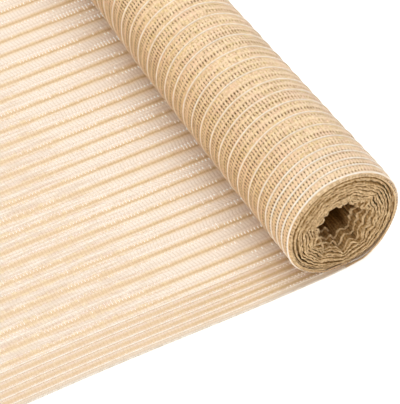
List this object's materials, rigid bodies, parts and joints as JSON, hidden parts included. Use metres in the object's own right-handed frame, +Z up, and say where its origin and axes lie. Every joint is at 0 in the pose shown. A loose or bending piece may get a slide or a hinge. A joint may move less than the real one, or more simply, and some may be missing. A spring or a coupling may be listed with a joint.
{
  "type": "privacy screen net",
  "caption": "Knitted screening net, partly unrolled: a wound roll with a crumpled open core lies on its own flat loose end.",
  "frame": {"origin": "on the ground under the middle of the net's box, at the flat face of the loose end", "axes": "+Z up, the roll's axis and the net's width along Y, the roll at +X, the loose end towards -X, the pictured open end of the roll at -Y"},
  "size_m": [0.5221, 1.002, 0.1235],
  "materials": {
    "rolled_net": "matt knitted tape yarn, tan, small open stitches between the cords",
    "loose_end": "matt knitted tape yarn, cream, open hatch between tan chain lines",
    "white_cord": "white raised stitched cord"
  },
  "bodies": {
    "root": {"rolled_net": "rolled_net", "loose_end": "loose_end"}
  },
  "joints": []
}
